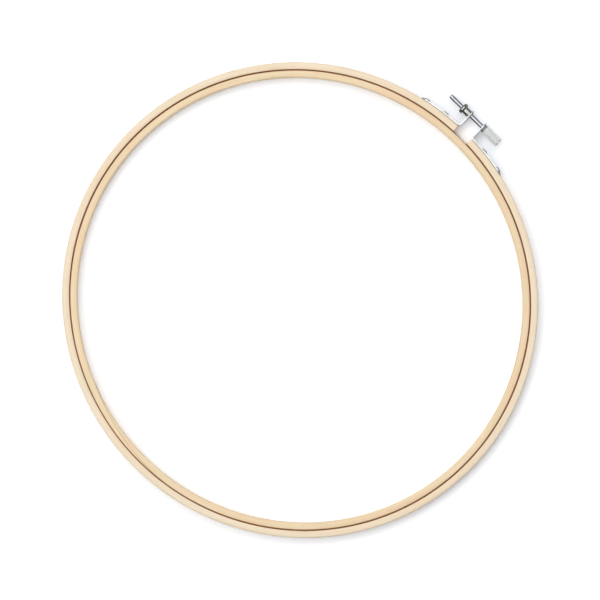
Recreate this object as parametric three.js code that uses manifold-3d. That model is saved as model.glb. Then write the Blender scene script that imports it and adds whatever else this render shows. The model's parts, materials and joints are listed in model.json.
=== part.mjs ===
// Embroidery hoop: a closed bamboo ring inside a split bamboo ring that a thumb screw draws together.
//
// Millimetres, +Z up. The hoop lies flat on z = 0 and the split of its outer ring is towards +Y.
// The origin is the middle of the footprint with the clamp counted, so the rings' centre lies towards -Y.
// Angles are counted from the middle of the split, positive towards the thumb screw's knob (+X).

import * as THREE from 'three';
import { mergeVertices } from 'three/addons/utils/BufferGeometryUtils.js';
import Module from 'manifold-3d';

const wasm = await Module();
wasm.setup();

// Rings
const NOMINAL_DIAMETER = 254; // mean outside of the inner ring, the size the hoop is sold by
const RING_HEIGHT = 9;
const INNER_RING_THICKNESS = 4;
const OUTER_RING_THICKNESS = 4;
const RING_CLEARANCE = 0.5; // radial room for the cloth
const RING_EDGE_RADIUS = 1;
const RING_OVALITY = 1.4; // the rings reach this much less at the split and opposite it, and more half-way round
const SPLIT_GAP = 10.1; // between the ends of the outer ring, at half its thickness
const END_SLANT = 12; // degrees between the face of each end and the middle plane of the split

// Brackets, bent from sheet: a strap that hugs the outer ring and an ear that stands on it
const SHEET_THICKNESS = 0.8;
const BRACKET_WIDTH = 7;
const STRAP_LENGTH = 25.5; // along the outer ring, from the ring's end
const STRAP_CORNER_RADIUS = 3;
const BEND_RADIUS = 1; // inside of the bend
const EAR_SPACING = 9.7; // between the middles of the two ears
const EAR_CORNER_RADIUS = 2;
const EAR_MARGIN = 2.6; // ear beyond the screw's axis
const SCREW_STANDOFF = 8.9; // screw's axis above the outer ring

// Tacks that hold the straps
const NEAR_TACK_OFFSET = 9.6; // from the ring's end
const FAR_TACK_MARGIN = 3.6; // from the strap's free end
const TACK_HEAD_DIAMETER = 3.5;
const TACK_HEAD_HEIGHT = 0.6;
const TACK_RIM_HEIGHT = 0.12;
const TACK_SHANK_DIAMETER = 1.2;
const TACK_POINT_LENGTH = 1.2;
const TACK_WALL = 1; // wood left behind each tack's hole

// Flange nut, riveted into its ear
const NUT_SPIGOT_WALL = 0.25;
const NUT_SHOULDER_WIDTH = 0.2; // neck wider than the ear's hole, all round
const NUT_NECK_LENGTH = 3.55;
const NUT_FLANGE_DIAMETER = 6;
const NUT_FLANGE_THICKNESS = 2.2;
const NUT_CHAMFER = 0.3;
const NUT_LIP_WIDTH = 0.3; // peened lip wider than the ear's hole, all round
const NUT_LIP_THICKNESS = 0.3;

// Thumb screw
const SCREW_DIAMETER = 2.5;
const SCREW_REACH = 9; // past the flange nut
const SCREW_TIP_CHAMFER = 0.35;
const COLLAR_DIAMETER = 4.4;
const COLLAR_LENGTH = 1.2;
const KNOB_DIAMETER = 5;
const KNOB_LENGTH = 10.6;
const KNOB_CHAMFER = 0.4;
const KNOB_END_WALL = 3; // between the screw's seat and the knob's outer end
const KNURL_PITCH = 0.87; // between the knurl's tips, round the knob
const KNURL_DEPTH = 0.22;
const SLOT_WIDTH = 0.8;
const SLOT_DEPTH = 1;

// Clearances
const SEAT_CLEARANCE = 0.1; // between faces that rest on each other
const TACK_HOLE_CLEARANCE = 0.15; // radial
const TACK_POINT_CLEARANCE = 0.2;
const THREAD_CLEARANCE = 0.2; // radial, between the plain screw and the nut's bore
const EAR_HOLE_CLEARANCE = 0.25; // radial, between the screw and the ear it only passes through

// Facets
const RING_SEGMENTS = 120;
const CORNER_SEGMENTS = 2;
const SHEET_ARC_SEGMENTS = 8;
const TURNED_SEGMENTS = 24;
const TACK_SEGMENTS = 16;
const DOME_STEPS = 4;
const CUTTER_MARGIN = 1; // how far a cutter reaches past what it cuts

// Dependent sizes
const innerRingOuterRadius = NOMINAL_DIAMETER / 2;
const innerRingInnerRadius = innerRingOuterRadius - INNER_RING_THICKNESS;
const outerRingInnerRadius = innerRingOuterRadius + RING_CLEARANCE;
const outerRingOuterRadius = outerRingInnerRadius + OUTER_RING_THICKNESS;
const halfHeight = RING_HEIGHT / 2;

// Near the split the oval outer ring all but follows a circle, the bed that the clamp is fitted to.
// The clamp's own origin is the middle of that circle, and its sizes and angles are counted from there.
const splitReach = outerRingOuterRadius - RING_OVALITY;
const bedRadius = splitReach ** 2 / (outerRingOuterRadius - 5 * RING_OVALITY);
const bedCentreY = splitReach - bedRadius;
const ringMiddleRadius = bedRadius - OUTER_RING_THICKNESS / 2;
const endSlant = THREE.MathUtils.degToRad(END_SLANT);
const splitHalfAngle = Math.asin(SPLIT_GAP / 2 / ringMiddleRadius);

const strapInnerRadius = bedRadius + SEAT_CLEARANCE;
const strapOuterRadius = strapInnerRadius + SHEET_THICKNESS;
const strapEndAngle = splitHalfAngle + STRAP_LENGTH / bedRadius;
const nearTackAngle = splitHalfAngle + NEAR_TACK_OFFSET / bedRadius;
const farTackAngle = strapEndAngle - FAR_TACK_MARGIN / bedRadius;
const tackHoleRadius = TACK_SHANK_DIAMETER / 2 + TACK_HOLE_CLEARANCE;
const tackHoleFloor = bedRadius - OUTER_RING_THICKNESS + TACK_WALL;
const tackSeatRadius = strapOuterRadius + SEAT_CLEARANCE;

const screwAxisY = bedRadius + SCREW_STANDOFF;
const screwRadius = SCREW_DIAMETER / 2;
const earOuterX = EAR_SPACING / 2 + SHEET_THICKNESS / 2;
const earInnerX = earOuterX - SHEET_THICKNESS;
const earTipY = screwAxisY + EAR_MARGIN;
const nutBoreRadius = screwRadius + THREAD_CLEARANCE;
const nutSpigotRadius = nutBoreRadius + NUT_SPIGOT_WALL;
const nutEarHoleRadius = nutSpigotRadius + SEAT_CLEARANCE;
const screwEarHoleRadius = screwRadius + EAR_HOLE_CLEARANCE;

const nutShoulderX = -(earOuterX + SEAT_CLEARANCE);
const nutFlangeInnerX = nutShoulderX - NUT_NECK_LENGTH;
const nutFlangeOuterX = nutFlangeInnerX - NUT_FLANGE_THICKNESS;
const nutLipX = -(earInnerX - SEAT_CLEARANCE);
const screwTipX = nutFlangeOuterX - SCREW_REACH;
const collarX = earOuterX + SEAT_CLEARANCE;
const knurlCellsRound = Math.round((Math.PI * KNOB_DIAMETER) / KNURL_PITCH);
const knobInnerX = collarX + COLLAR_LENGTH;
const knobOuterX = knobInnerX + KNOB_LENGTH;
const screwSeatX = knobOuterX - KNOB_END_WALL;

const clampTopY = bedCentreY + screwAxisY + Math.max(EAR_MARGIN, NUT_FLANGE_DIAMETER / 2, KNOB_DIAMETER / 2);

const Y_AXIS = new THREE.Vector3(0, 1, 0);
const Z_AXIS = new THREE.Vector3(0, 0, 1);

// Solids

function weld(geometry) {
  const bare = geometry.clone();
  bare.deleteAttribute('normal');
  bare.deleteAttribute('uv');
  const welded = mergeVertices(bare);
  const corners = welded.index.array;
  const kept = [];
  for (let i = 0; i < corners.length; i += 3) {
    const [a, b, c] = [corners[i], corners[i + 1], corners[i + 2]];
    if (a !== b && b !== c && c !== a) kept.push(a, b, c);
  }
  welded.setIndex(kept);
  return welded;
}

function weldedWithNormals(geometry) {
  const welded = weld(geometry);
  welded.computeVertexNormals();
  return welded;
}

function toSolid(geometry) {
  const welded = weld(geometry);
  const vertProperties = new Float32Array(welded.attributes.position.array);
  const triVerts = new Uint32Array(welded.index.array);
  return new wasm.Manifold(new wasm.Mesh({ numProp: 3, vertProperties, triVerts }));
}

function toGeometry(solid) {
  const mesh = solid.getMesh();
  const geometry = new THREE.BufferGeometry();
  geometry.setAttribute('position', new THREE.BufferAttribute(mesh.vertProperties, 3));
  geometry.setIndex(new THREE.BufferAttribute(mesh.triVerts, 1));
  geometry.computeVertexNormals();
  return geometry;
}

function cut(geometry, cutters) {
  let solid = toSolid(geometry);
  for (const cutter of cutters) solid = solid.subtract(toSolid(cutter));
  return toGeometry(solid);
}

// Places a shape drawn in the XY plane so that its X and Y run along two given directions.
function placed(geometry, origin, xDirection, yDirection) {
  const zDirection = new THREE.Vector3().crossVectors(xDirection, yDirection);
  const matrix = new THREE.Matrix4().makeBasis(xDirection, yDirection, zDirection).setPosition(origin);
  return geometry.applyMatrix4(matrix);
}

function mirroredInX(geometry) {
  const mirrored = weld(geometry).scale(-1, 1, 1);
  const corners = Array.from(mirrored.index.array).reverse();
  mirrored.setIndex(corners);
  mirrored.computeVertexNormals();
  return mirrored;
}

function drill(radius, from, to) {
  const direction = new THREE.Vector3().subVectors(to, from);
  const hole = new THREE.CylinderGeometry(radius, radius, direction.length(), TURNED_SEGMENTS);
  const turn = new THREE.Quaternion().setFromUnitVectors(Y_AXIS, direction.clone().normalize());
  const middle = new THREE.Vector3().addVectors(from, to).multiplyScalar(0.5);
  return hole.applyQuaternion(turn).translate(middle.x, middle.y, middle.z);
}

// The waste outside one rounded corner, as a prism: the corner's arc is centred on the origin and faces +X, +Y.
function cornerWaste(radius, depth) {
  const reach = radius + CUTTER_MARGIN;
  const outline = new THREE.Shape();
  outline.moveTo(radius, 0);
  outline.lineTo(reach, 0);
  outline.lineTo(reach, reach);
  outline.lineTo(0, reach);
  outline.absarc(0, 0, radius, Math.PI / 2, 0, true);
  const curveSegments = SHEET_ARC_SEGMENTS / 2;
  return new THREE.ExtrudeGeometry(outline, { depth, bevelEnabled: false, curveSegments });
}

// A turned part: its profile is a closed line of (radius, x) points and its axis is X.
function turned(profile, segments) {
  const points = profile.map(([radius, x]) => new THREE.Vector2(radius, x));
  return new THREE.LatheGeometry(points, segments).rotateZ(-Math.PI / 2);
}

// Unit vector from the bed's middle outwards, at an angle from the middle of the split.
function outwardAt(angle) {
  return new THREE.Vector3(Math.sin(angle), Math.cos(angle), 0);
}

function pointAt(angle, radius, z) {
  return outwardAt(angle).multiplyScalar(radius).setZ(z);
}

// Bamboo rings

function roundedSection(left, right, bottom, top, radius) {
  const section = new THREE.Path();
  section.absarc(right - radius, bottom + radius, radius, -Math.PI / 2, 0);
  section.absarc(right - radius, top - radius, radius, 0, Math.PI / 2);
  section.absarc(left + radius, top - radius, radius, Math.PI / 2, Math.PI);
  section.absarc(left + radius, bottom + radius, radius, Math.PI, Math.PI * 1.5);
  const points = section.getPoints(CORNER_SEGMENTS / 2);
  return [...points, points[0].clone()];
}

// Presses a round ring oval, in and out by the cosine of twice the angle from the split.
function pressedOval(geometry) {
  const points = geometry.attributes.position;
  for (let i = 0; i < points.count; i += 1) {
    const [x, y] = [points.getX(i), points.getY(i)];
    const radius = Math.hypot(x, y);
    const scale = 1 - (RING_OVALITY * (y ** 2 - x ** 2)) / radius ** 3;
    points.setXY(i, x * scale, y * scale);
  }
  return geometry;
}

function ring(innerRadius, outerRadius) {
  const section = roundedSection(innerRadius, outerRadius, 0, RING_HEIGHT, RING_EDGE_RADIUS);
  return pressedOval(new THREE.LatheGeometry(section, RING_SEGMENTS).rotateX(Math.PI / 2));
}

function innerRing() {
  return weldedWithNormals(ring(innerRingInnerRadius, innerRingOuterRadius));
}

function outerRing() {
  const reach = bedRadius + CUTTER_MARGIN;
  const apexY = ringMiddleRadius * Math.cos(splitHalfAngle) - SPLIT_GAP / 2 / Math.tan(endSlant);
  const halfWidth = (reach - apexY) * Math.tan(endSlant);
  const wedge = new THREE.Shape();
  wedge.moveTo(0, apexY);
  wedge.lineTo(halfWidth, reach);
  wedge.lineTo(-halfWidth, reach);
  const depth = RING_HEIGHT + 2 * CUTTER_MARGIN;
  const split = new THREE.ExtrudeGeometry(wedge, { depth, bevelEnabled: false }).translate(0, 0, -CUTTER_MARGIN);
  const tackHoles = tackAngles().map((angle) =>
    drill(tackHoleRadius, pointAt(angle, tackHoleFloor, halfHeight), pointAt(angle, reach, halfHeight)),
  );
  const cutters = [split, ...tackHoles].map((cutter) => cutter.translate(0, bedCentreY, 0));
  return cut(ring(outerRingInnerRadius, outerRingOuterRadius), cutters);
}

// Clamp hardware

function tackAngles() {
  return [nearTackAngle, farTackAngle, -nearTackAngle, -farTackAngle];
}

// The bent strip seen along Z: up the ring, round the bend and up the ear, then back down the other face.
function bracketStrip() {
  const bendX = earOuterX + BEND_RADIUS;
  const bendY = Math.sqrt((strapOuterRadius + BEND_RADIUS) ** 2 - bendX ** 2);
  const towardsCentre = Math.atan2(-bendY, -bendX) + 2 * Math.PI;
  const bendStart = Math.atan2(bendY, bendX);
  const strapEnd = Math.PI / 2 - strapEndAngle;
  const outline = new THREE.Shape();
  outline.absarc(0, 0, strapInnerRadius, strapEnd, bendStart, false);
  outline.absarc(bendX, bendY, BEND_RADIUS + SHEET_THICKNESS, towardsCentre, Math.PI, true);
  outline.lineTo(earInnerX, earTipY);
  outline.lineTo(earOuterX, earTipY);
  outline.absarc(bendX, bendY, BEND_RADIUS, Math.PI, towardsCentre, false);
  outline.absarc(0, 0, strapOuterRadius, bendStart, strapEnd, true);
  const curveSegments = SHEET_ARC_SEGMENTS / 2;
  const strip = new THREE.ExtrudeGeometry(outline, { depth: BRACKET_WIDTH, bevelEnabled: false, curveSegments });
  return strip.translate(0, 0, halfHeight - BRACKET_WIDTH / 2);
}

function bracket(earHoleRadius) {
  const waste = [];
  const earDepth = SHEET_THICKNESS + 2 * CUTTER_MARGIN;
  const alongStrap = new THREE.Vector3(Math.cos(strapEndAngle), -Math.sin(strapEndAngle), 0);
  for (const side of [1, -1]) {
    // Each second corner is the first one turned a quarter round, which keeps the cutter right-handed.
    const quarter = side > 0 ? 0 : -Math.PI / 2;
    const earZ = halfHeight + side * (BRACKET_WIDTH / 2 - EAR_CORNER_RADIUS);
    const earCorner = new THREE.Vector3(earInnerX - CUTTER_MARGIN, earTipY - EAR_CORNER_RADIUS, earZ);
    waste.push(placed(cornerWaste(EAR_CORNER_RADIUS, earDepth).rotateZ(quarter), earCorner, Y_AXIS, Z_AXIS));
    const strapZ = halfHeight + side * (BRACKET_WIDTH / 2 - STRAP_CORNER_RADIUS);
    const strapCorner = pointAt(strapEndAngle, strapOuterRadius + CUTTER_MARGIN, strapZ);
    strapCorner.addScaledVector(alongStrap, -STRAP_CORNER_RADIUS);
    waste.push(placed(cornerWaste(STRAP_CORNER_RADIUS, earDepth).rotateZ(quarter), strapCorner, alongStrap, Z_AXIS));
  }
  const earHole = drill(
    earHoleRadius,
    new THREE.Vector3(earInnerX - CUTTER_MARGIN, screwAxisY, halfHeight),
    new THREE.Vector3(earOuterX + CUTTER_MARGIN, screwAxisY, halfHeight),
  );
  const tackHoles = [nearTackAngle, farTackAngle].map((angle) =>
    drill(
      tackHoleRadius,
      pointAt(angle, strapInnerRadius - CUTTER_MARGIN, halfHeight),
      pointAt(angle, strapOuterRadius + CUTTER_MARGIN, halfHeight),
    ),
  );
  return cut(bracketStrip(), [...waste, earHole, ...tackHoles]);
}

// A domed tack along +Y, with the underside of its head at y = 0.
function tack() {
  const shankRadius = TACK_SHANK_DIAMETER / 2;
  const headRadius = TACK_HEAD_DIAMETER / 2;
  const pointY = tackHoleFloor + TACK_POINT_CLEARANCE - tackSeatRadius;
  const profile = [
    new THREE.Vector2(0, pointY),
    new THREE.Vector2(shankRadius, pointY + TACK_POINT_LENGTH),
    new THREE.Vector2(shankRadius, 0),
    new THREE.Vector2(headRadius, 0),
  ];
  for (let step = 0; step < DOME_STEPS; step += 1) {
    const rise = (step / DOME_STEPS) * (Math.PI / 2);
    const height = TACK_RIM_HEIGHT + (TACK_HEAD_HEIGHT - TACK_RIM_HEIGHT) * Math.sin(rise);
    profile.push(new THREE.Vector2(headRadius * Math.cos(rise), height));
  }
  profile.push(new THREE.Vector2(0, TACK_HEAD_HEIGHT));
  return weldedWithNormals(new THREE.LatheGeometry(profile, TACK_SEGMENTS));
}

function flangeNut() {
  const flangeRadius = NUT_FLANGE_DIAMETER / 2;
  const neckRadius = nutEarHoleRadius + NUT_SHOULDER_WIDTH;
  const lipRadius = nutEarHoleRadius + NUT_LIP_WIDTH;
  const lipEndX = nutLipX + NUT_LIP_THICKNESS;
  const profile = [
    [nutBoreRadius, nutFlangeOuterX + NUT_CHAMFER],
    [nutBoreRadius + NUT_CHAMFER, nutFlangeOuterX],
    [flangeRadius - NUT_CHAMFER, nutFlangeOuterX],
    [flangeRadius, nutFlangeOuterX + NUT_CHAMFER],
    [flangeRadius, nutFlangeInnerX - NUT_CHAMFER],
    [flangeRadius - NUT_CHAMFER, nutFlangeInnerX],
    [neckRadius, nutFlangeInnerX],
    [neckRadius, nutShoulderX],
    [nutSpigotRadius, nutShoulderX],
    [nutSpigotRadius, nutLipX],
    [lipRadius, nutLipX],
    [nutSpigotRadius, lipEndX],
    [nutBoreRadius, lipEndX],
    [nutBoreRadius, nutFlangeOuterX + NUT_CHAMFER],
  ];
  return weldedWithNormals(turned(profile, TURNED_SEGMENTS));
}

function screwRod() {
  const seatedEndX = screwSeatX - SEAT_CLEARANCE;
  const profile = [
    [0, screwTipX],
    [screwRadius - SCREW_TIP_CHAMFER, screwTipX],
    [screwRadius, screwTipX + SCREW_TIP_CHAMFER],
    [screwRadius, seatedEndX],
    [0, seatedEndX],
  ];
  return weldedWithNormals(turned(profile, TURNED_SEGMENTS));
}

// The stations of the knob along its axis: each has an x, a radius, and whether the knurl's valleys cross it.
function knobStations() {
  const collarRadius = COLLAR_DIAMETER / 2;
  const knobRadius = KNOB_DIAMETER / 2;
  const knurlLength = KNOB_LENGTH - 2 * KNOB_CHAMFER;
  const halfRows = 2 * Math.round(knurlLength / KNURL_PITCH);
  const stations = [
    { x: collarX, radius: 0 },
    { x: collarX, radius: collarRadius },
    { x: knobInnerX, radius: collarRadius },
    { x: knobInnerX, radius: knobRadius - KNOB_CHAMFER },
  ];
  for (let row = 0; row <= halfRows; row += 1) {
    const x = knobInnerX + KNOB_CHAMFER + (row / halfRows) * knurlLength;
    stations.push({ x, radius: knobRadius, knurled: true });
  }
  stations.push({ x: knobOuterX, radius: knobRadius - KNOB_CHAMFER });
  stations.push({ x: knobOuterX, radius: 0 });
  return stations;
}

// Diamond knurl: the points of a grid are by turns tips and valley crossings, and every square of the grid
// is folded along the line that joins its two crossings, so that each tip stands on a four-sided pyramid.
function knurledBlank() {
  const columns = 2 * knurlCellsRound;
  const stations = knobStations();
  const positions = [];
  stations.forEach(({ x, radius, knurled }, row) => {
    for (let column = 0; column < columns; column += 1) {
      const angle = (column / columns) * 2 * Math.PI;
      const crossing = knurled && (row + column) % 2 === 1;
      const reach = crossing ? radius - KNURL_DEPTH : radius;
      positions.push(x, reach * Math.cos(angle), reach * Math.sin(angle));
    }
  });
  const corners = [];
  for (let row = 0; row + 1 < stations.length; row += 1) {
    for (let column = 0; column < columns; column += 1) {
      const next = (column + 1) % columns;
      const a = row * columns + column;
      const b = row * columns + next;
      const c = (row + 1) * columns + next;
      const d = (row + 1) * columns + column;
      if ((row + column) % 2 === 1) corners.push(a, b, c, a, c, d);
      else corners.push(a, b, d, b, c, d);
    }
  }
  const blank = new THREE.BufferGeometry();
  blank.setAttribute('position', new THREE.Float32BufferAttribute(positions, 3));
  blank.setIndex(corners);
  return blank;
}

function screwKnob() {
  const seat = drill(
    screwRadius + SEAT_CLEARANCE,
    new THREE.Vector3(collarX - CUTTER_MARGIN, 0, 0),
    new THREE.Vector3(screwSeatX, 0, 0),
  );
  const slotLength = KNOB_DIAMETER + 2 * CUTTER_MARGIN;
  const slotReach = SLOT_DEPTH + CUTTER_MARGIN;
  const slot = new THREE.BoxGeometry(slotReach, SLOT_WIDTH, slotLength);
  slot.translate(knobOuterX - SLOT_DEPTH + slotReach / 2, 0, 0);
  return cut(knurledBlank(), [seat, slot]);
}

// Assembly

const bamboo = { color: 0xf3e3c3, roughness: 0.55, metalness: 0 };
const warmBamboo = { color: 0xf0d5a8, roughness: 0.55, metalness: 0 };
const platedSteel = { color: 0xdcdddb, roughness: 0.2, metalness: 1 };
const drawnSteel = { color: 0xc4c6c8, roughness: 0.25, metalness: 1 };
const darkNickel = { color: 0x8f9189, roughness: 0.35, metalness: 1 };
const satinNickel = { color: 0xbfc0be, roughness: 0.45, metalness: 1 };

function addPiece(parent, name, geometry, finish) {
  const piece = new THREE.Mesh(geometry, new THREE.MeshStandardMaterial(finish));
  piece.name = name;
  parent.add(piece);
  return piece;
}

function addTack(parent, name, angle) {
  const piece = addPiece(parent, name, tack(), platedSteel);
  piece.position.copy(pointAt(angle, tackSeatRadius, halfHeight));
  piece.quaternion.setFromUnitVectors(Y_AXIS, outwardAt(angle));
}

const hoop = new THREE.Group();
hoop.position.y = (splitReach - clampTopY) / 2;
addPiece(hoop, 'inner_ring', innerRing(), warmBamboo);
addPiece(hoop, 'outer_ring', outerRing(), bamboo);

const clamp = new THREE.Group();
clamp.position.y = bedCentreY;
hoop.add(clamp);
addPiece(clamp, 'screw_bracket', bracket(screwEarHoleRadius), platedSteel);
addPiece(clamp, 'nut_bracket', mirroredInX(bracket(nutEarHoleRadius)), platedSteel);
addTack(clamp, 'screw_bracket_tack_near', nearTackAngle);
addTack(clamp, 'screw_bracket_tack_far', farTackAngle);
addTack(clamp, 'nut_bracket_tack_near', -nearTackAngle);
addTack(clamp, 'nut_bracket_tack_far', -farTackAngle);

const screwLine = new THREE.Group();
screwLine.position.set(0, screwAxisY, halfHeight);
clamp.add(screwLine);
addPiece(screwLine, 'flange_nut', flangeNut(), darkNickel);
addPiece(screwLine, 'screw_rod', screwRod(), drawnSteel);
addPiece(screwLine, 'screw_knob', screwKnob(), satinNickel);

export default hoop;
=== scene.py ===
"""Embroidery hoop: a closed bamboo inner ring in a split bamboo outer ring that a thumb screw draws together.

Sizes in the classes are millimetres. A mesh is built in millimetres, with the hoop flat on z = 0 and the
split of its outer ring towards +Y, and is turned to metres when it is finished.
"""

import json
import logging
import math
from dataclasses import dataclass
from enum import Enum
from typing import Sequence

import bmesh
import bpy
from bmesh.types import BMEdge, BMesh, BMFace, BMVert
from bpy.types import ID, Material, Mesh, Node, NodeSocket, NodeTree, Object
from mathutils import Matrix, Vector


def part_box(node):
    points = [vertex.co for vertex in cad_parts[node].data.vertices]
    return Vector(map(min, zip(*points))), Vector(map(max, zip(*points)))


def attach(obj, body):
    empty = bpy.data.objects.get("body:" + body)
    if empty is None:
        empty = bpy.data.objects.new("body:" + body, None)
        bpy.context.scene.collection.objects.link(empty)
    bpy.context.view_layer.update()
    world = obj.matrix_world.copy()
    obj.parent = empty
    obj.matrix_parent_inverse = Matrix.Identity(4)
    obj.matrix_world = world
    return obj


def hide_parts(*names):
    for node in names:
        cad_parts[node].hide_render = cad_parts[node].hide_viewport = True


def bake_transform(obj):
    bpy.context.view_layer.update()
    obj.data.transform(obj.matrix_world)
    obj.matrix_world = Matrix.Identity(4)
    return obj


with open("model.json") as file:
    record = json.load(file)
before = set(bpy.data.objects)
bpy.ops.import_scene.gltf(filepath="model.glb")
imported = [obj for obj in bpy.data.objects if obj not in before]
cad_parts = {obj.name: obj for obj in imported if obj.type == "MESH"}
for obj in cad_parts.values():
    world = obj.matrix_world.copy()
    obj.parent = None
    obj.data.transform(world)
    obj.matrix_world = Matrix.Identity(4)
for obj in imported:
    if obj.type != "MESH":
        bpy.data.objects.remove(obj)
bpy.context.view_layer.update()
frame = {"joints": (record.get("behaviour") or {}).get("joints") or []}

log = logging.getLogger("embroidery_hoop")

MM = 0.001
X_AXIS = Vector((1.0, 0.0, 0.0))
Z_AXIS = Vector((0.0, 0.0, 1.0))
ORIGIN = Vector((0.0, 0.0, 0.0))
STRIP = "strip_mm"  # a ring's own coordinates: along the strip, across it and up, as if it were laid straight
MERGE_DISTANCE = 1e-4  # corners nearer to each other than this are one
HOLE_STEPS = 48  # facets round a drilled hole
ROUND_STEPS = 2  # facets across a softened edge
RING_THICKNESS = 4.0
CLOTH_GAP = 0.5  # between the rings' solids
RING_FULLNESS = 0.1  # how far each ring stands into that gap
RUNNING_GAP = 0.05  # what stays free of it, also when the screw is at its tightest
SEAT_CLEARANCE = 0.1  # between a metal piece and what it sits on
TACK_WALL = 1.2  # wood behind a tack's point
CREASE = math.radians(35)  # edges sharper than this stay sharp to the eye

Span = tuple[float, float]  # a value at the start and one at the end


class Body(Enum):
    """The bodies that move against each other."""

    OUTER_FRAME = "outer_frame"
    NUT_END = "nut_end"
    THUMB_SCREW = "thumb_screw"
    INNER_FRAME = "inner_frame"


class Side(Enum):
    """The two ends of the outer ring, named for what each holds."""

    SCREW = "screw"
    NUT = "nut"


# Shader tools

MIX_FACTOR, MIX_FROM, MIX_TO, MIX_RESULT = 0, 6, 7, 2  # sockets of a Mix node that mixes colours


def linear(code: str) -> tuple[float, float, float, float]:
    """Turns an sRGB colour into the renderer's linear values.

    Args:
        code: The colour as a hex code, such as "#F5E3C0".

    Returns:
        Linear red, green and blue, and an alpha of 1.
    """
    shares = [int(code[i:i + 2], 16) / 255 for i in (1, 3, 5)]
    red, green, blue = (s / 12.92 if s <= 0.04045 else ((s + 0.055) / 1.055) ** 2.4 for s in shares)
    return red, green, blue, 1.0


def add_node(tree: NodeTree, kind: str, inputs: dict[str | int, object] | None = None,
             **settings: object) -> Node:
    """Adds one node with its settings and links.

    Args:
        tree: The node tree that gets the node.
        kind: Blender's name for the type of node.
        inputs: For each input, by name or number, its value or the socket that feeds it.
        **settings: The node's own properties.

    Returns:
        The new node.
    """
    node = tree.nodes.new(kind)
    for name, value in settings.items():
        setattr(node, name, value)
    for key, value in (inputs or {}).items():
        if isinstance(value, NodeSocket):
            tree.links.new(value, node.inputs[key])
        else:
            node.inputs[key].default_value = value
    return node


def grain(cell: Sequence[float], unit: float = 1.0) -> tuple[float, ...]:
    """Gives a Mapping node's scale for a pattern.

    Args:
        cell: Length, width and height of one of the pattern's cells, in millimetres.
        unit: What a millimetre measures in the coordinates that the pattern reads.

    Returns:
        The scale along each axis.
    """
    return tuple(1 / (size * unit) for size in cell)


@dataclass(frozen=True)
class Finish:
    """What a surface is made of and how it was made."""

    name: str

    def material(self) -> Material:
        """Makes the finish's material, or finds it where it has been made.

        Returns:
            The material.
        """
        found = bpy.data.materials.get(self.name)
        if found:
            return found
        made = bpy.data.materials.new(self.name)
        made.use_nodes = True
        self.dress(made.node_tree, made.node_tree.nodes["Principled BSDF"])
        return made

    def dress(self, tree: NodeTree, shader: Node) -> None:
        """Adds the finish's nodes round the shader."""
        raise NotImplementedError

    @staticmethod
    def stained(tree: NodeTree, colour: NodeSocket | Sequence[float], stain: str, value: NodeSocket,
                span: Span = (0.0, 1.0), shares: Span = (0.0, 1.0)) -> NodeSocket:
        """Lays a stain over a colour, more or less of it as a value goes through a span.

        Args:
            tree: The material's node tree.
            colour: The colour underneath, as a socket or as linear values.
            stain: The stain's hex colour.
            value: What decides how much of the stain there is.
            span: The values between which its share changes.
            shares: Its share at the start and at the end of the span.

        Returns:
            The stained colour.
        """
        share = add_node(tree, "ShaderNodeMapRange", {
            "Value": value, "From Min": span[0], "From Max": span[1],
            "To Min": shares[0], "To Max": shares[1]})
        mix = add_node(tree, "ShaderNodeMix", {
            MIX_FACTOR: share.outputs["Result"], MIX_FROM: colour, MIX_TO: linear(stain)}, data_type="RGBA")
        return mix.outputs[MIX_RESULT]


@dataclass(frozen=True)
class ScarfJoint:
    """A long slanting glue joint where the two ends of a strip lap, as millimetres on the strip."""

    length: float
    strip_length: float
    strip_thickness: float
    line_width: float = 0.22
    line_share: float = 0.55  # how much of the glue line's colour shows


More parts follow.
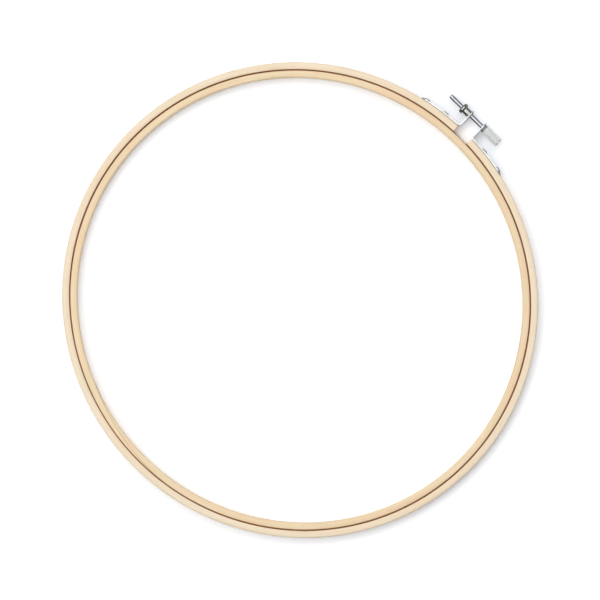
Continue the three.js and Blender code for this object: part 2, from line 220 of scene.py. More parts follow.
@dataclass(frozen=True, kw_only=True)
class SteamedBamboo(Finish):
    """Bamboo strip, planed, steamed round a former and sanded, with no varnish.

    The eye gets a pale satin wood with long straight fibres along the strip, slow drifts of tint from cream
    to peach and to a green straw colour, and a few short brown vessel flecks. Along the rims of the face that
    bears on the other ring, a brown painted shade stands for the shade in the gap between the rings.
    """

    height: float  # the strip's
    pale: str = "#F2E1C6"
    warm: str = "#F0D7B7"
    straw: str = "#ECDDBE"
    fibre: str = "#DBBD91"
    fleck: str = "#A9804E"
    # painted shade of the gap between the rings, laid on the rims of the face that bears on the other ring
    bearing: str = "#A8641C"
    warm_span: Span = (0.32, 0.68)  # the pattern's values between which a tint sets in
    straw_span: Span = (0.45, 0.75)
    fibre_span: Span = (0.38, 0.72)
    fleck_span: Span = (0.70, 0.80)
    fibre_share: float = 0.32  # how much of a tint there is at most
    fleck_share: float = 0.45
    gap_shade_share: float = 0.95
    bearing_side: float = -1.0  # 1 where the bearing face looks outwards, -1 where it looks inwards
    gap_shade_start: float = RING_THICKNESS / 2 - 0.4  # how far from the strip's middle its colour sets in
    gap_shade_depth: float = 2.4  # how far down the face its colour is gone
    roughness: float = 0.52
    roughness_drift: float = 0.08
    gloss: float = 0.5  # specular level, which is gone where the gap's shade is painted
    drift_length: float = 70.0
    drift_width: float = 5.0
    fibre_length: float = 26.0
    fibre_width: float = 0.7  # real bundles are 0.3 mm apart, drawn coarser so that they show
    fleck_length: float = 5.0
    fleck_width: float = 0.55
    layer_share: float = 0.55  # how strong each finer layer of a pattern is against the one before
    bump: float = 0.35
    relief: float = 0.05
    scarf: ScarfJoint | None = None

    def dress(self, tree: NodeTree, shader: Node) -> None:
        """Lays tints, fibres and flecks along the strip, and the glue line where the strip has one.

        Args:
            tree: The material's node tree.
            shader: Its shader.
        """
        strip = add_node(tree, "ShaderNodeAttribute", attribute_name=STRIP).outputs["Vector"]
        if self.scarf:
            strip, off_line = self.lapped(tree, strip)
        fibres = self.pattern(tree, strip, self.fibre_length, self.fibre_width, detail=3.0)
        flecks = self.pattern(tree, strip, self.fleck_length, self.fleck_width, detail=1.0)
        colour = self.tinted(tree, strip)
        colour = self.stained(tree, colour, self.fibre, fibres, self.fibre_span, (0.0, self.fibre_share))
        colour = self.stained(tree, colour, self.fleck, flecks, self.fleck_span, (0.0, self.fleck_share))
        if self.scarf:
            half = self.scarf.line_width / 2 / self.scarf.strip_thickness
            colour = self.stained(tree, colour, self.fleck, off_line, (half, 2 * half),
                                  (self.scarf.line_share, 0.0))
        gap_shade_mask = self.gap_shade_mask(tree, strip)
        # brown painted shade of the gap between the rings, on the rims of the bearing face
        colour = self.stained(tree, colour, self.bearing, gap_shade_mask)
        rough = add_node(tree, "ShaderNodeMapRange", {
            "Value": fibres, "To Min": self.roughness - self.roughness_drift,
            "To Max": self.roughness + self.roughness_drift})
        gloss = add_node(tree, "ShaderNodeMapRange", {"Value": gap_shade_mask, "To Min": self.gloss, "To Max": 0.0})
        bump = add_node(tree, "ShaderNodeBump", {
            "Height": fibres, "Strength": self.bump, "Distance": self.relief * MM})
        tree.links.new(colour, shader.inputs["Base Color"])
        tree.links.new(rough.outputs["Result"], shader.inputs["Roughness"])
        tree.links.new(gloss.outputs["Result"], shader.inputs["Specular IOR Level"])
        tree.links.new(bump.outputs["Normal"], shader.inputs["Normal"])

    def pattern(self, tree: NodeTree, strip: NodeSocket, length: float, width: float,
                detail: float, shift: float = 0.0) -> NodeSocket:
        """Makes a noise whose cells are drawn out along the strip.

        Args:
            tree: The material's node tree.
            strip: Coordinates on the strip, in millimetres.
            length: Length of a cell along the strip, in millimetres.
            width: Width of a cell across it.
            detail: How many finer layers of noise there are.
            shift: Moves the pattern along, in cells, so that two patterns of one size differ.

        Returns:
            The noise, from 0 to 1.
        """
        place = add_node(tree, "ShaderNodeMapping", {
            "Vector": strip, "Location": (shift, shift, shift), "Scale": grain((length, width, width))})
        noise = add_node(tree, "ShaderNodeTexNoise", {
            "Vector": place.outputs["Vector"], "Scale": 1.0, "Detail": detail, "Roughness": self.layer_share})
        return noise.outputs["Fac"]

    def gap_shade_mask(self, tree: NodeTree, strip: NodeSocket) -> NodeSocket:
        """Finds how much painted shade of the gap between the rings lies at a place on the strip.

        Args:
            tree: The material's node tree.
            strip: Coordinates on the strip, in millimetres.

        Returns:
            The share of the painted shade, from 0 to 1, which shows along the rims of the bearing face alone.
        """
        axes = add_node(tree, "ShaderNodeSeparateXYZ", {"Vector": strip}).outputs
        off = add_node(tree, "ShaderNodeMath", {0: axes["Y"], 1: self.bearing_side}, operation="MULTIPLY")
        face = add_node(tree, "ShaderNodeMapRange", {
            "Value": off.outputs[0], "From Min": self.gap_shade_start,
            "From Max": (RING_THICKNESS + RING_FULLNESS) / 2, "To Max": self.gap_shade_share},
            interpolation_type="SMOOTHSTEP")
        up = add_node(tree, "ShaderNodeMath", {0: axes["Z"], 1: self.height / 2}, operation="SUBTRACT")
        up = add_node(tree, "ShaderNodeMath", {0: up.outputs[0]}, operation="ABSOLUTE")
        rim = add_node(tree, "ShaderNodeMapRange", {
            "Value": up.outputs[0], "From Min": self.height / 2 - self.gap_shade_depth,
            "From Max": (self.height - self.gap_shade_depth) / 2}, interpolation_type="SMOOTHSTEP")
        both = add_node(tree, "ShaderNodeMath", {
            0: face.outputs["Result"], 1: rim.outputs["Result"]}, operation="MULTIPLY")
        return both.outputs[0]

    def tinted(self, tree: NodeTree, strip: NodeSocket) -> NodeSocket:
        """Lets the wood's tint drift between pale, warm and straw.

        Args:
            tree: The material's node tree.
            strip: Coordinates on the strip, in millimetres.

        Returns:
            The wood's colour before its fibres.
        """
        drift = self.pattern(tree, strip, self.drift_length, self.drift_width, detail=2.0)
        colour = self.stained(tree, linear(self.pale), self.warm, drift, self.warm_span)
        drift = self.pattern(tree, strip, self.drift_length / 2, self.drift_width / 2, detail=2.0, shift=7.3)
        return self.stained(tree, colour, self.straw, drift, self.straw_span)

    def lapped(self, tree: NodeTree, strip: NodeSocket) -> tuple[NodeSocket, NodeSocket]:
        """Carries the end of the strip past its start, on one side of the scarf's slanting line.

        Args:
            tree: The material's node tree.
            strip: Coordinates on the strip, in millimetres.

        Returns:
            The coordinates with the lap, and the distance from the line, as a share of the strip's thickness.
        """
        joint = self.scarf
        slant = -1 / joint.strip_thickness
        axes = add_node(tree, "ShaderNodeSeparateXYZ", {"Vector": strip})
        along, across, up = (axes.outputs[name] for name in "XYZ")
        place = add_node(tree, "ShaderNodeMath", {0: across, 1: slant, 2: 0.5}, operation="MULTIPLY_ADD")
        reach = add_node(tree, "ShaderNodeMath", {0: along, 1: joint.length}, operation="DIVIDE")
        over = add_node(tree, "ShaderNodeMath", {
            0: place.outputs[0], 1: reach.outputs[0]}, operation="SUBTRACT")
        lap = add_node(tree, "ShaderNodeMath", {0: over.outputs[0], 1: 0.0}, operation="GREATER_THAN")
        carried = add_node(tree, "ShaderNodeMath", {
            0: lap.outputs[0], 1: joint.strip_length, 2: along}, operation="MULTIPLY_ADD")
        moved = add_node(tree, "ShaderNodeCombineXYZ", {"X": carried.outputs[0], "Y": across, "Z": up})
        off = add_node(tree, "ShaderNodeMath", {0: over.outputs[0]}, operation="ABSOLUTE")
        return moved.outputs["Vector"], off.outputs[0]


@dataclass(frozen=True)
class SawnBamboo(Finish):
    """End grain of the strip, sawn across and lightly sanded: darker, dull and dotted with cut bundles."""

    ground: str = "#E9CFA0"
    bundle: str = "#B98E5A"
    bundle_spacing: float = 0.7  # real ones are 0.3 mm apart, drawn coarser so that they show
    bundle_span: Span = (0.15, 0.45)  # from a bundle's middle to its edge, in spacings
    bundle_share: float = 0.6
    roughness: float = 0.7
    bump: float = 0.4
    relief: float = 0.05

    def dress(self, tree: NodeTree, shader: Node) -> None:
        """Dots the ground with bundles that are a little raised.

        Args:
            tree: The material's node tree.
            shader: Its shader.
        """
        strip = add_node(tree, "ShaderNodeAttribute", attribute_name=STRIP).outputs["Vector"]
        dots = add_node(tree, "ShaderNodeTexVoronoi", {"Vector": strip, "Scale": 1 / self.bundle_spacing})
        share = add_node(tree, "ShaderNodeMapRange", {
            "Value": dots.outputs["Distance"], "From Min": self.bundle_span[0],
            "From Max": self.bundle_span[1], "To Min": self.bundle_share, "To Max": 0.0}).outputs["Result"]
        colour = self.stained(tree, linear(self.ground), self.bundle, share)
        bump = add_node(tree, "ShaderNodeBump", {
            "Height": share, "Strength": self.bump, "Distance": self.relief * MM})
        shader.inputs["Roughness"].default_value = self.roughness
        tree.links.new(colour, shader.inputs["Base Color"])
        tree.links.new(bump.outputs["Normal"], shader.inputs["Normal"])


@dataclass(frozen=True)
class Metal(Finish):
    """A bare or plated metal with the fine lines that its working has left, round it or along it."""

    bright: str = "#D4D5D4"
    dull: str = "#BEC0C0"
    edge: str = "#26282C"  # what the metal gives back at a grazing angle
    roughness: float = 0.42
    roughness_drift: float = 0.08
    metallic: float = 1.0  # less where the surface is so matt that it scatters light as a pale paint does
    cloud: float = 5.0  # how wide a patch of one tint is
    cloud_span: Span = (0.3, 0.7)  # the pattern's values between which the gloss changes
    grain_size: tuple[float, float, float] = (0.3, 0.3, 0.3)  # real lines are finer, but wouldn't show
    bump: float = 0.3
    relief: float = 0.01

    def dress(self, tree: NodeTree, shader: Node) -> None:
        """Clouds the metal's tint and gloss, and lays the grain of its working over it.

        Args:
            tree: The material's node tree.
            shader: Its shader.
        """
        place = add_node(tree, "ShaderNodeTexCoord").outputs["Object"]
        wide = add_node(tree, "ShaderNodeMapping", {"Vector": place, "Scale": grain([self.cloud] * 3, MM)})
        clouds = add_node(tree, "ShaderNodeTexNoise", {
            "Vector": wide.outputs["Vector"], "Scale": 1.0, "Detail": 3.0}).outputs["Fac"]
        fine = add_node(tree, "ShaderNodeMapping", {"Vector": place, "Scale": grain(self.grain_size, MM)})
        lines = add_node(tree, "ShaderNodeTexNoise", {
            "Vector": fine.outputs["Vector"], "Scale": 1.0, "Detail": 2.0}).outputs["Fac"]
        colour = self.stained(tree, linear(self.bright), self.dull, clouds)
        rough = add_node(tree, "ShaderNodeMapRange", {
            "Value": clouds, "From Min": self.cloud_span[0], "From Max": self.cloud_span[1],
            "To Min": self.roughness - self.roughness_drift, "To Max": self.roughness + self.roughness_drift})
        bump = add_node(tree, "ShaderNodeBump", {
            "Height": lines, "Strength": self.bump, "Distance": self.relief * MM})
        shader.inputs["Metallic"].default_value = self.metallic
        shader.inputs["Specular Tint"].default_value = linear(self.edge)
        tree.links.new(self.with_hollow_shade(tree, place, colour), shader.inputs["Base Color"])
        tree.links.new(rough.outputs["Result"], shader.inputs["Roughness"])
        tree.links.new(bump.outputs["Normal"], shader.inputs["Normal"])

    def with_hollow_shade(self, tree: NodeTree, place: NodeSocket, colour: NodeSocket) -> NodeSocket:
        """Leaves the metal as it is; a finish that paints shade into its hollows changes the colour here."""
        return colour


@dataclass(frozen=True, kw_only=True)
class KnurledMetal(Metal):
    """Metal rolled with a knurl: matt, with shade painted into the valleys, so that it reads as speckled."""

    axis: tuple[float, float, float]  # a point on the knob's axis, which lies along X
    tip_radius: float
    knurl_depth: float
    # painted shade for the knurl's valleys
    valley_shade: str = "#56585A"
    valley_shade_share: float = 0.75

    def with_hollow_shade(self, tree: NodeTree, place: NodeSocket, colour: NodeSocket) -> NodeSocket:
        """Darkens what lies below the knurl's tips, by its distance from the knob's axis, as painted shade.

        Args:
            tree: The material's node tree.
            place: The place on the knob, in metres.
            colour: The metal's colour before its painted shade.

        Returns:
            The colour with its painted shade.
        """
        centred = add_node(tree, "ShaderNodeMapping", {
            "Vector": place, "Location": tuple(-value * MM for value in self.axis)}).outputs["Vector"]
        section = add_node(tree, "ShaderNodeVectorMath", {
            0: centred, 1: (0.0, 1.0, 1.0)}, operation="MULTIPLY").outputs["Vector"]
        radius = add_node(tree, "ShaderNodeVectorMath", {0: section}, operation="LENGTH").outputs["Value"]
        span = ((self.tip_radius - self.knurl_depth) * MM, (self.tip_radius - self.knurl_depth / 3) * MM)
        # painted shade in the knurl's valleys: the deeper below the tips, the darker
        return self.stained(tree, colour, self.valley_shade, radius, span, (self.valley_shade_share, 0.0))


# Mesh tools

def box_mm(node: str) -> tuple[Vector, Vector]:
    """Gives a frame node's lowest and highest corners in millimetres."""
    low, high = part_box(node)
    return low / MM, high / MM


def outwards(bm: BMesh) -> None:
    """Merges what lies together and turns every face to look outwards."""
    bmesh.ops.remove_doubles(bm, verts=bm.verts, dist=MERGE_DISTANCE)
    bmesh.ops.recalc_face_normals(bm, faces=bm.faces)


def turned(profile: Sequence[tuple[float, float]], steps: int, closed: bool = False) -> BMesh:
    """Turns a profile round the X axis, as a lathe does.

    Args:
        profile: The profile's points, each a place along the axis and a radius.
        steps: How many facets go round.
        closed: True where the profile's last point joins its first, as on a ring.

    Returns:
        The turned shape.
    """
    bm = bmesh.new()
    points = [bm.verts.new((station, radius, 0.0)) for station, radius in profile]
    ends = points[1:] + points[:1] if closed else points[1:]
    for start, end in zip(points, ends):
        bm.edges.new((start, end))
    bmesh.ops.spin(bm, geom=bm.verts[:] + bm.edges[:], cent=ORIGIN, axis=X_AXIS, angle=math.tau,
                   steps=steps, use_merge=True)
    outwards(bm)
    return bm


def soften(bm: BMesh, width: float) -> None:
    """Rounds the sharp edges, as tumbling, plating or sanding leaves them.

    Args:
        bm: The mesh.
        width: Width that is taken off each edge, in millimetres.
    """
    sharp = [edge for edge in bm.edges if edge.is_manifold and edge.calc_face_angle() > CREASE]
    bmesh.ops.bevel(bm, geom=sharp, offset=width, offset_type="OFFSET", segments=ROUND_STEPS, profile=0.5,
                    affect="EDGES", clamp_overlap=True, material=-1)


def mesh_of(bm: BMesh, name: str) -> Mesh:
    """Writes a shape into a new mesh.

    Args:
        bm: The shape, which is used up.
        name: The mesh's name.

    Returns:
        The mesh.
    """
    mesh = bpy.data.meshes.new(name)
    bm.to_mesh(mesh)
    bm.free()
    return mesh


def set_out(name: str, data: ID) -> Object:
    """Sets a mesh, a lamp or a camera out in the scene.

    Args:
        name: Its object's name.
        data: The mesh, lamp or camera.

    Returns:
        Its object.
    """
    thing = bpy.data.objects.new(name, data)
    bpy.context.scene.collection.objects.link(thing)
    return thing


def finished(bm: BMesh, name: str, finishes: Sequence[Finish], softened: bool = False) -> Object:
    """Turns a mesh in millimetres into a piece in metres, smooth but for its sharp edges.

    Args:
        bm: The mesh, which is used up.
        name: The piece's name.
        finishes: Its finishes, in the order of its faces' material numbers.
        softened: True where wide faces should look flat right up to the narrow rounds between them.

    Returns:
        The piece, with its place in its mesh.
    """
    bmesh.ops.scale(bm, vec=(MM, MM, MM), verts=bm.verts)
    for face in bm.faces:
        face.smooth = True
    for edge in bm.edges:
        edge.smooth = not edge.is_manifold or edge.calc_face_angle() < CREASE
    mesh = mesh_of(bm, name)
    for finish in finishes:
        mesh.materials.append(finish.material())
    piece = set_out(name, mesh)
    if softened:
        piece.modifiers.new("normals_by_area", "WEIGHTED_NORMAL").keep_sharp = True
    return piece


def seated(piece: Object, body: Body, node: str) -> Object:
    """Lets a piece ride on a body in the place of a frame node.

    Args:
        piece: The finished piece.
        body: The body that carries it.
        node: The frame node that it stands for.

    Returns:
        The same piece.
    """
    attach(piece, body.value)
    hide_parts(node)
    report(piece)
    return piece


def report(piece: Object) -> None:
    """Logs a piece's name and how many faces it has."""
    log.info("%s: %d faces", piece.name, len(piece.data.polygons))


def drilled(bm: BMesh, start: Vector, end: Vector, radius: float) -> BMesh:
    """Drills a round hole through a shape.

    Args:
        bm: The shape, which is used up.
        start: Where the drill's axis starts.
        end: Where it ends.
        radius: The hole's radius.

    Returns:
        The drilled shape.
    """
    drill = bmesh.new()
    turn = Z_AXIS.rotation_difference(end - start).to_matrix().to_4x4()
    place = Matrix.Translation((start + end) / 2) @ turn
    bmesh.ops.create_cone(drill, cap_ends=True, segments=HOLE_STEPS, radius1=radius, radius2=radius,
                          depth=(end - start).length, matrix=place)
    return subtracted(bm, drill)


def subtracted(bm: BMesh, waste: BMesh) -> BMesh:
    """Cuts one shape out of another.

    Args:
        bm: The shape that is cut. It is used up.
        waste: What is cut away. It is used up too.

    Returns:
        What is left.
    """
    blank, cutter = (set_out("cutting", mesh_of(shape, "cutting")) for shape in (bm, waste))
    cut = blank.modifiers.new("hole", "BOOLEAN")
    cut.object = cutter
    cut.operation = "DIFFERENCE"
    cut.solver = "EXACT"
    result = bmesh.new()
    result.from_object(blank, bpy.context.evaluated_depsgraph_get())
    for shape in (blank, cutter):
        bpy.data.meshes.remove(shape.data)
    return result


# Rings

@dataclass
class Oval:
    """An all but round outline, a little nearer to its middle at the split and opposite it.

    Near the split it all but follows a circle, the bed, which is wider than the oval.
    """

    centre: Vector
    mean_radius: float
    ovality: float  # by how much the radius is less at the split

    @classmethod
    def read(cls, node: str) -> "Oval":
        """Reads the outline from a closed ring.

        Args:
            node: The ring's node in the frame.

        Returns:
            The outline of its outer face.
        """
        low, high = box_mm(node)
        width, depth = high.x - low.x, high.y - low.y
        centre = Vector(((low.x + high.x) / 2, (low.y + high.y) / 2, 0.0))
        return cls(centre, (width + depth) / 4, (width - depth) / 4)

    def grown(self, width: float) -> "Oval":
        """Gives the outline that lies outside this one by a width."""
        return Oval(self.centre, self.mean_radius + width, self.ovality)

    def round_about(self, node: str) -> "Oval":
        """Gives the split ring's outline round this one, by its width alone, as its ends don't meet."""
        low, high = box_mm(node)
        return Oval(self.centre, (high.x - low.x) / 2 - self.ovality, self.ovality)

    @property
    def bed_radius(self) -> float:
        """Radius of the bed, as the line mean_radius - ovality * cos(2 * angle) curves at the angle 0."""
        return (self.mean_radius - self.ovality) ** 2 / (self.mean_radius - 5 * self.ovality)

    @property
    def bed_centre(self) -> Vector:
        """Middle of the bed."""
        return Vector((self.centre.x, self.centre.y + self.mean_radius - self.ovality - self.bed_radius, 0.0))


@dataclass
class BambooRing:
    """A bamboo strip with rounded edges, bent on edge into an oval."""

    outline: Oval  # the strip's outer face
    height: float
    hinge: Vector  # where the split ring bends as it opens
    thickness: float = RING_THICKNESS + RING_FULLNESS
    edge_radius: float = 1.0
    edge_segments: int = 5
    bearing_side: float = -1.0  # 1 where the face against the other ring looks outwards, -1 where inwards
    crown: float = 0.0  # how far the middle of that face stands out from its edges
    steps: int = 480  # facets along the strip

    @property
    def middle_radius(self) -> float:
        """Mean radius of the strip's middle line."""
        return self.outline.mean_radius - self.thickness / 2

    def section(self, bm: BMesh, angle: float) -> BMFace:
        """Draws the strip's section across the ring.

        Args:
            bm: The mesh that gets it.
            angle: Where it stands, from the middle of the split clockwise as seen from above.

        Returns:
            The section, a flat face.
        """
        bmesh.ops.create_grid(bm, x_segments=1, y_segments=1, size=0.5)
        bmesh.ops.scale(bm, vec=(self.thickness, self.height, 1.0), verts=bm.verts)
        bmesh.ops.bevel(bm, geom=bm.verts[:], offset=self.edge_radius, offset_type="OFFSET",
                        segments=self.edge_segments, profile=0.5, affect="VERTICES", material=-1)
        face_x = self.bearing_side * self.thickness / 2
        bearing = [edge for edge in bm.edges
                   if all(abs(vert.co.x - face_x) < MERGE_DISTANCE for vert in edge.verts)]
        cut = bmesh.ops.subdivide_edges(bm, edges=bearing, cuts=1)["geom_inner"]
        crest = [part for part in cut if isinstance(part, BMVert)]
        bmesh.ops.translate(bm, vec=(self.bearing_side * self.crown, 0.0, 0.0), verts=crest)
        bmesh.ops.rotate(bm, matrix=Matrix.Rotation(math.pi / 2, 3, "X"), verts=bm.verts)
        bmesh.ops.translate(bm, vec=(self.middle_radius, 0.0, self.height / 2), verts=bm.verts)
        bmesh.ops.rotate(bm, matrix=Matrix.Rotation(math.pi / 2 - angle, 3, "Z"), verts=bm.verts)
        return bm.faces[:][0]

    def bow(self, angle: float, radius: float) -> float:
        """Gives how far bending moves what is at an angle from the split and a radius outwards."""
        return -self.outline.ovality * math.cos(2 * angle)

    def press_oval(self, bm: BMesh) -> None:
        """Presses the round ring oval and puts it in its place.

        Args:
            bm: The ring's mesh, round and centred on the origin.
        """
        for vert in bm.verts:
            radius = vert.co.xy.length
            vert.co.xy *= 1 + self.bow(math.atan2(vert.co.x, vert.co.y), radius) / radius
        bmesh.ops.translate(bm, vec=self.outline.centre, verts=bm.verts)

    def lay_strip(self, bm: BMesh, start: float) -> None:
        """Writes each corner's place on the straight strip, for the materials to read.

        Args:
            bm: The ring's mesh, in its place.
            start: The angle where the strip starts.
        """
        layer = bm.loops.layers.float_vector.new(STRIP)
        for face in bm.faces:
            middle = face.calc_center_median() - self.outline.centre
            turn = (math.atan2(middle.x, middle.y) - start) % math.tau
            for corner in face.loops:
                point = corner.vert.co - self.outline.centre
                angle = math.atan2(point.x, point.y)
                off = (angle - start - turn + math.pi) % math.tau - math.pi
                across = point.xy.length - self.bow(angle, self.middle_radius) - self.middle_radius
                corner[layer] = Vector(((turn + off) * self.middle_radius, across, point.z))


@dataclass(kw_only=True)
class InnerRing(BambooRing):
    """The closed ring that the cloth is laid over. Its strip's ends lap in a long glued scarf."""

    tightening: float  # the angle by which the screw can still close the outer ring
    bearing_side: float = 1.0
    crown: float = 0.25
    scarf_start: float = math.radians(172.0)  # where the strip starts, from the split clockwise
    scarf_length: float = 68.0
    lean: float = 0.27  # how much nearer to the outer ring it lies on one side, where it springs against it
    lean_middle: float = math.radians(-137.0)  # the middle of that side, from the split clockwise
    lean_half_width: float = math.radians(75.0)

    def finish(self) -> SteamedBamboo:
        """Gives the ring's own bamboo, a little warmer and browner than the outer ring's.

        Returns:
            The finish, with its scarf.
        """
        scarf = ScarfJoint(self.scarf_length, math.tau * self.middle_radius, self.thickness)
        return SteamedBamboo("steamed_bamboo_warm", pale="#F0D9B5", warm="#EFCEA6", straw="#E8D4A9",
                             fibre="#D6B384", drift_length=45.0, bearing_side=self.bearing_side,
                             height=self.height, scarf=scarf)

    def bow(self, angle: float, radius: float) -> float:
        """Adds the side that leans on the outer ring, as far as there is room.

        Args:
            angle: The place round the ring, from the split clockwise.
            radius: How far out the place is.

        Returns:
            How far it moves outwards.
        """
        arm = self.hinge.xy - self.outline.centre.xy
        closing = self.tightening * arm.length * max(0.0, math.sin(angle - math.atan2(arm.x, arm.y)))
        free = CLOTH_GAP - 2 * RING_FULLNESS - RUNNING_GAP - closing
        off = abs((angle - self.lean_middle + math.pi) % math.tau - math.pi) / self.lean_half_width
        lean = min(free, self.lean * math.cos(min(off, 1.0) * math.pi / 2))
        standing_out = max(0.0, radius - self.outline.mean_radius)
        return super().bow(angle, radius) + min(lean, free - standing_out)

    def build(self) -> Object:
        """Builds and dresses the ring.

        Returns:
            The finished ring.
        """
        bm = bmesh.new()
        face = self.section(bm, self.scarf_start)
        bmesh.ops.delete(bm, geom=[face], context="FACES_ONLY")
        bmesh.ops.spin(bm, geom=bm.verts[:] + bm.edges[:], cent=ORIGIN, axis=-Z_AXIS, angle=math.tau,
                       steps=self.steps, use_merge=True)
        outwards(bm)
        self.press_oval(bm)
        self.lay_strip(bm, self.scarf_start)
        piece = finished(bm, "inner_ring_strip", [self.finish()])
        return seated(piece, Body.INNER_FRAME, "inner_ring")


@dataclass
class OuterRing(BambooRing):
    """The split ring that closes on the cloth. Its sawn ends stand apart under the screw."""

    split_gap: float = 10.1  # between the ends, at half the strip's thickness
    end_slant: float = math.radians(12.0)  # between the face of each end and the middle plane of the split
    end_spare: float = math.radians(0.35)  # what the strip is too long by at each end, for the saw
    end_softening: float = 0.25
    flex_zone: float = 5.0  # half the length of the stretch that bends when the screw opens the ring

    def build(self) -> Object:
        """Builds and dresses the ring.

        Returns:
            The finished ring.
        """
        half_gap = self.split_gap / 2
        start = math.asin(half_gap / (self.middle_radius - self.outline.ovality)) - self.end_spare
        bm = bmesh.new()
        face = self.section(bm, start)
        bmesh.ops.spin(bm, geom=[face], cent=ORIGIN, axis=-Z_AXIS, angle=math.tau - 2 * start,
                       steps=self.steps)
        outwards(bm)
        self.press_oval(bm)
        middle = self.outline.bed_radius - self.thickness / 2
        cut = self.outline.bed_centre + Vector((half_gap, math.sqrt(middle ** 2 - half_gap ** 2), 0.0))
        ends = [self.saw(bm, cut, 1.0), self.saw(bm, Vector((-cut.x, cut.y, 0.0)), -1.0)]
        rims = list({edge for face in ends for edge in face.edges})
        bmesh.ops.bevel(bm, geom=rims, offset=self.end_softening, offset_type="OFFSET",
                        segments=ROUND_STEPS, profile=0.5, affect="EDGES", material=0)
        self.lay_strip(bm, start)
        finishes = [SteamedBamboo("steamed_bamboo", height=self.height), SawnBamboo("sawn_bamboo")]
        piece = finished(bm, "outer_ring_strip", finishes)
        split = self.outline.centre + Vector((0.0, middle, 0.0))
        towards_nut = (split - self.hinge).xy.orthogonal().normalized().to_3d() * self.flex_zone
        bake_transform(piece)
        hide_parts("outer_ring")
        report(piece)
        return piece

    def saw(self, bm: BMesh, cut: Vector, way: float) -> BMFace:
        """Saws one end off at a slant and closes it with its sawn face.

        Args:
            bm: The ring's mesh.
            cut: The point at half the strip's thickness that the saw goes through.
            way: 1 where the end points to -X, -1 where it points to +X.

        Returns:
            The sawn face.
        """
        facing = Vector((-way * math.cos(self.end_slant), math.sin(self.end_slant), 0.0))
        near = [face for face in bm.faces if (face.calc_center_median() - cut).length < 2 * self.split_gap
                and way * face.calc_center_median().x > 0.0]
        edges = {edge for face in near for edge in face.edges}
        verts = {vert for face in near for vert in face.verts}
        result = bmesh.ops.bisect_plane(bm, geom=list(set(near) | edges | verts), plane_co=cut,
                                        plane_no=facing, dist=MERGE_DISTANCE, clear_outer=True)
        rim = [part for part in result["geom_cut"] if isinstance(part, BMEdge)]
        face = bmesh.ops.contextual_create(bm, geom=rim)["faces"][0]
        face.material_index = 1
        face.normal_update()
        if face.normal.dot(facing) < 0:
            face.normal_flip()
        return face


# Clamp

